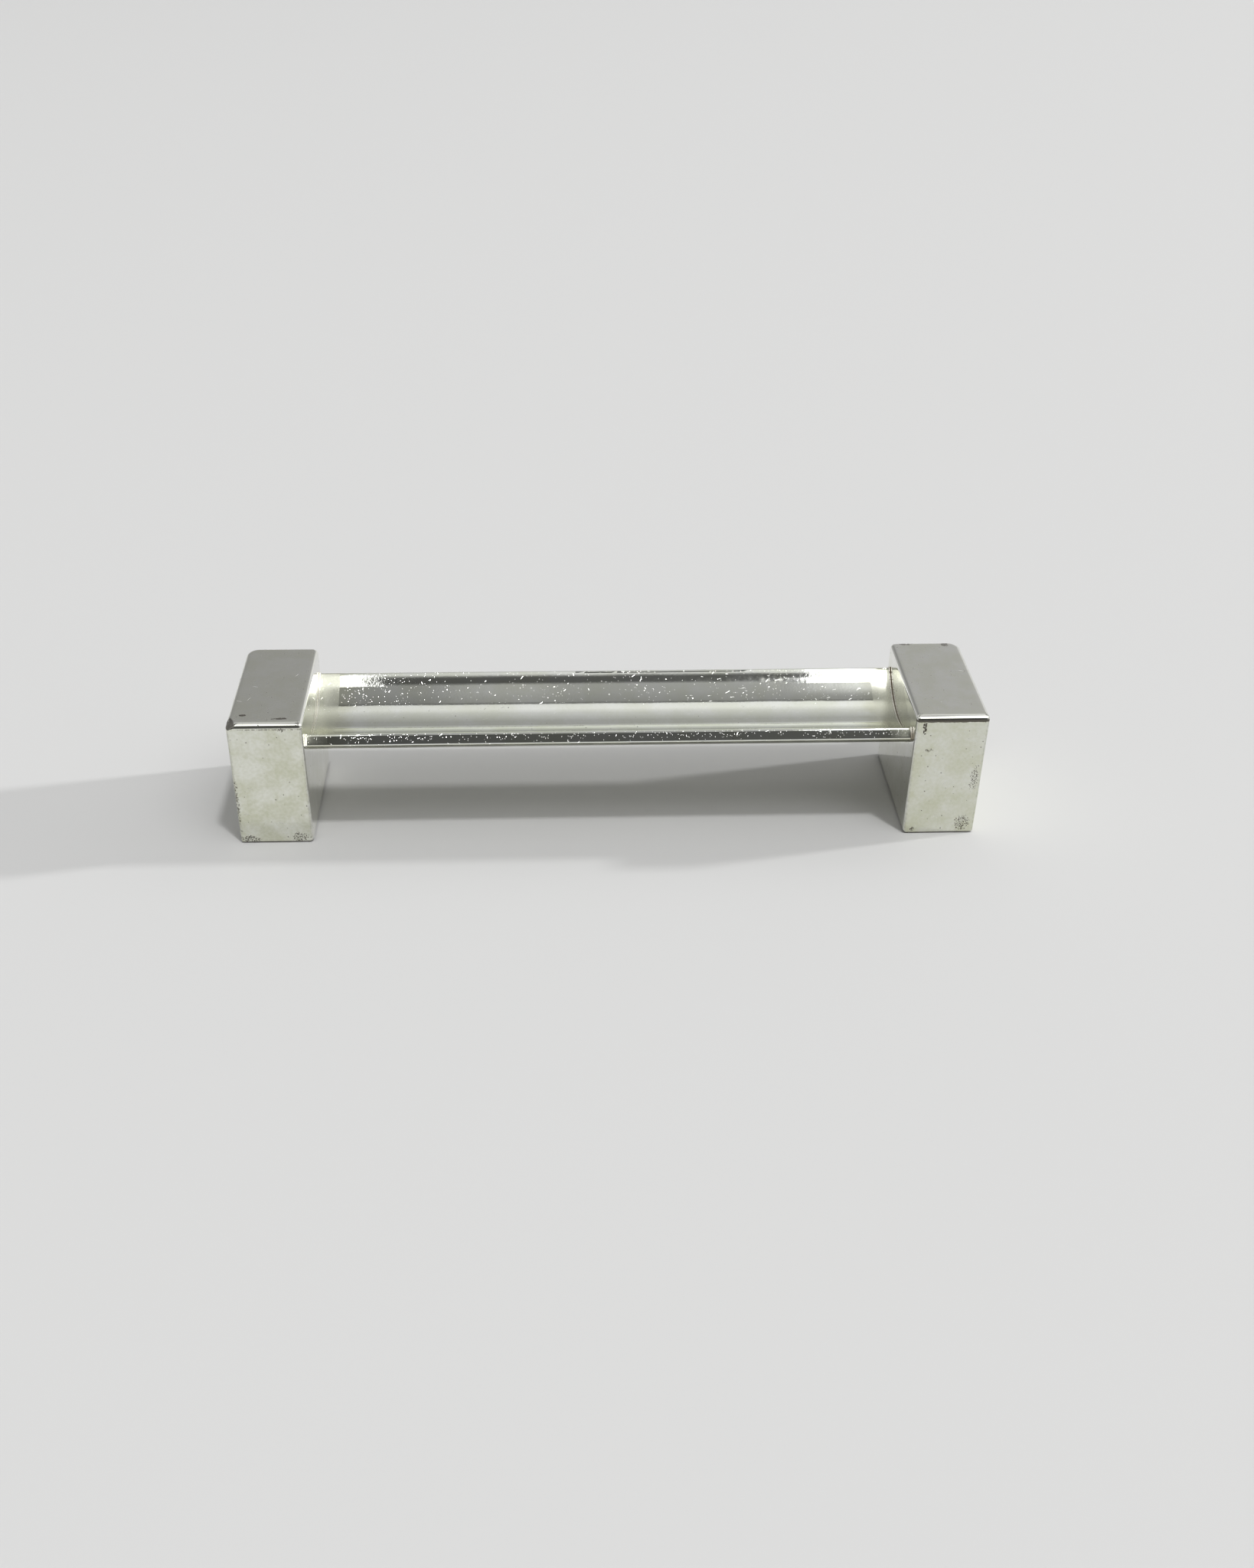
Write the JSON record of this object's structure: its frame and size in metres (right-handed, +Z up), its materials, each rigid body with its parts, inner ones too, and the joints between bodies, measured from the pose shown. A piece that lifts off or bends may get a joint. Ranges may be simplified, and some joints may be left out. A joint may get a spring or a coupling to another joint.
{
  "type": "knife rest",
  "caption": "Low silver-plated knife rest: two solid rectangular end blocks carry a shallow trough-shaped bar, which holds a knife's blade off the cloth.",
  "frame": {"origin": "on the table surface, under the middle of the rest", "axes": "+X along the rest to the right-hand block, +Y from the front to the rear, +Z up"},
  "size_m": [0.09, 0.0186, 0.0168],
  "materials": {
    "plated_block": "worn silver plate over brass, semi-bright, with fine pits and light tarnish",
    "plated_bar": "worn silver plate over brass, bright, with fine cross scratches",
    "silver_solder": "silver solder, dull, with dark tarnish and small beads"
  },
  "bodies": {
    "root": {"left_block": "plated_block", "right_block": "plated_block", "trough_bar": "plated_bar", "left_solder_seam": "silver_solder", "right_solder_seam": "silver_solder"}
  },
  "joints": []
}
